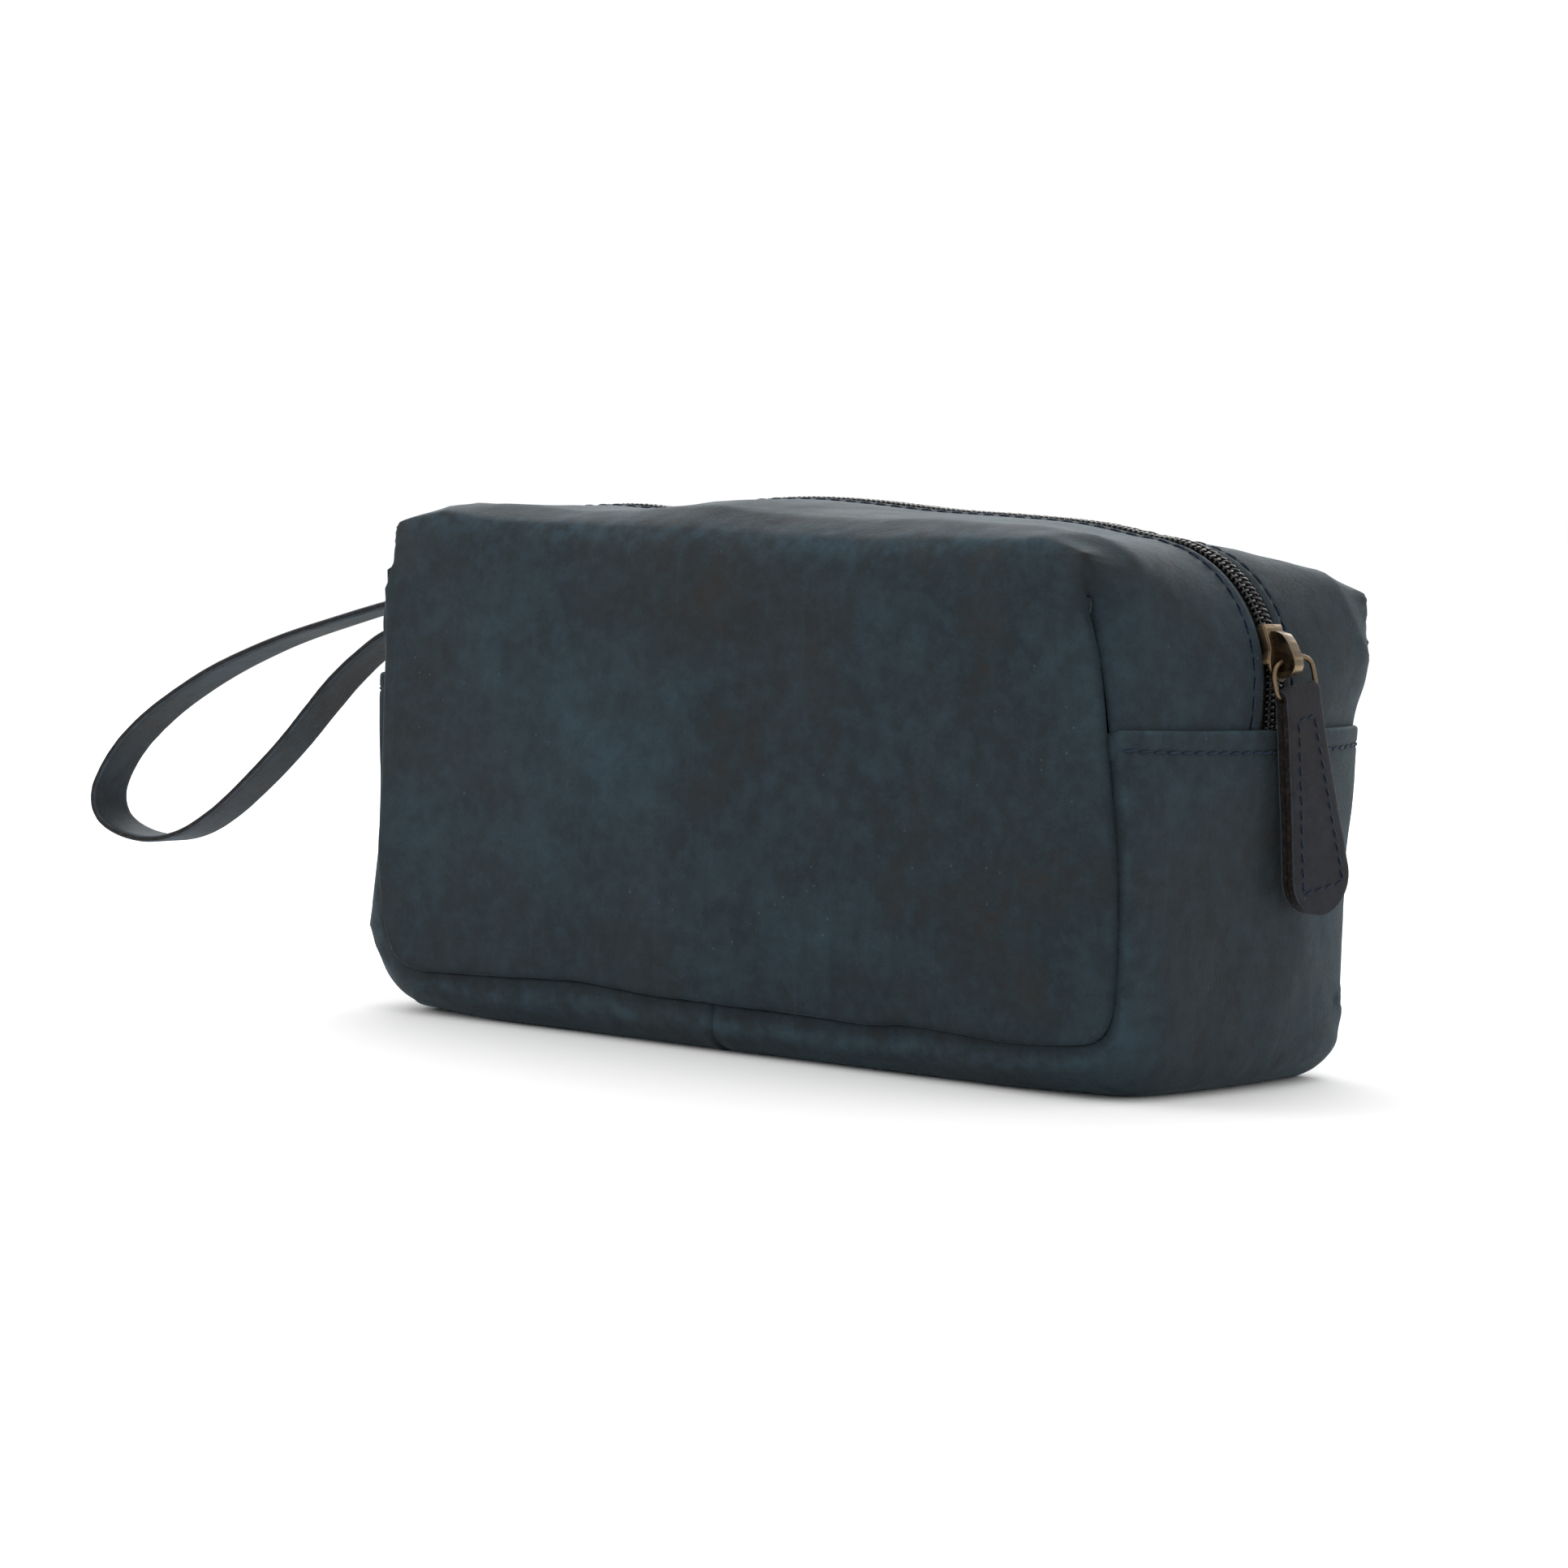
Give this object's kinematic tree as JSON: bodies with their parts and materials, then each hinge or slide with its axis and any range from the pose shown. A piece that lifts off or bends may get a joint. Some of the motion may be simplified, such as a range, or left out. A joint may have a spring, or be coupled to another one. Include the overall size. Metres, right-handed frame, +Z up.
{
  "type": "shaving kit bag",
  "caption": "Boxy zip-top wash bag in waxed nubuck leather, with a folded leather zip pull and a wrist strap at one end.",
  "frame": {"origin": "middle of the base, on the surface that the bag stands on", "axes": "+X towards the end where the zip slider stands, -Y out of the front face, +Z up"},
  "size_m": [0.4396, 0.1272, 0.1535],
  "materials": {
    "body_leather": "waxed nubuck, mottled slate blue, satin",
    "pull_leather": "thick charcoal navy leather with raw cut edges",
    "lining_cloth": "plain woven lining cloth, matt",
    "zip_tape": "woven polyester tape, matt black",
    "zip_coil": "black nylon coil, semi-gloss",
    "antique_brass": "antiqued brass, dark in the hollows, worn bright on edges",
    "sewing_thread": "denim blue bonded thread"
  },
  "bodies": {
    "root": {"front_panel": "body_leather", "back_panel": "body_leather", "front_wing_right": "body_leather", "front_wing_left": "body_leather", "back_wing_right": "body_leather", "back_wing_left": "body_leather", "gusset_right": "body_leather", "gusset_left": "body_leather", "lining_front": "lining_cloth", "lining_back": "lining_cloth", "lining_gusset": "lining_cloth", "front_zip_tape_right": "zip_tape", "front_zip_tape_left": "zip_tape", "back_zip_tape_right": "zip_tape", "back_zip_tape_left": "zip_tape", "front_zip_coil_right": "zip_coil", "front_zip_coil_left": "zip_coil", "back_zip_coil_right": "zip_coil", "back_zip_coil_left": "zip_coil", "hem_thread_right": "sewing_thread", "hem_thread_left": "sewing_thread"},
    "front_flap": {"front_top_flap": "body_leather", "lining_top_front": "lining_cloth", "front_zip_tape_top": "zip_tape", "front_zip_coil_top": "zip_coil", "front_topstitch": "sewing_thread"},
    "back_flap": {"back_top_flap": "body_leather", "lining_top_back": "lining_cloth", "back_zip_tape_top": "zip_tape", "back_zip_coil_top": "zip_coil", "back_topstitch": "sewing_thread"},
    "slider": {"slider_body": "antique_brass", "slider_bridge": "antique_brass"},
    "ring": {"pull_ring": "antique_brass"},
    "pull": {"pull_tab": "pull_leather", "pull_tab_thread": "sewing_thread"},
    "strap": {"wrist_strap": "body_leather"}
  },
  "joints": [
    {"name": "front_mouth", "type": "hinge", "parent": "root", "child": "front_flap", "pos_m": [0, -0.0625, 0.1456], "axis": [1, 0, 0], "range_deg": [0, 55]},
    {"name": "back_mouth", "type": "hinge", "parent": "root", "child": "back_flap", "pos_m": [0, 0.0625, 0.1456], "axis": [-1, 0, 0], "range_deg": [0, 55]},
    {"name": "slider_travel", "type": "hinge", "parent": "root", "child": "slider", "pos_m": [0.097, 0, 0.109], "axis": [0, -1, 0], "range_deg": [0, 66]},
    {"name": "ring_swing", "type": "hinge", "parent": "slider", "child": "ring", "pos_m": [0.13889, 0.00147, 0.117], "axis": [-0.1863, -0.9584, -0.2164], "range_deg": [0, 110]},
    {"name": "pull_swing", "type": "hinge", "parent": "ring", "child": "pull", "pos_m": [0.14037, 0.00332, 0.10753], "axis": [-0.1863, -0.9584, -0.2164], "range_deg": [0, 60]},
    {"name": "strap_swing", "type": "hinge", "parent": "root", "child": "strap", "pos_m": [-0.1382, 0, 0.0968], "axis": [0, 1, 0], "range_deg": [-14, 12]}
  ],
  "couplings": [
    {"joint": "back_mouth", "follows": "front_mouth", "ratio": 1}
  ]
}
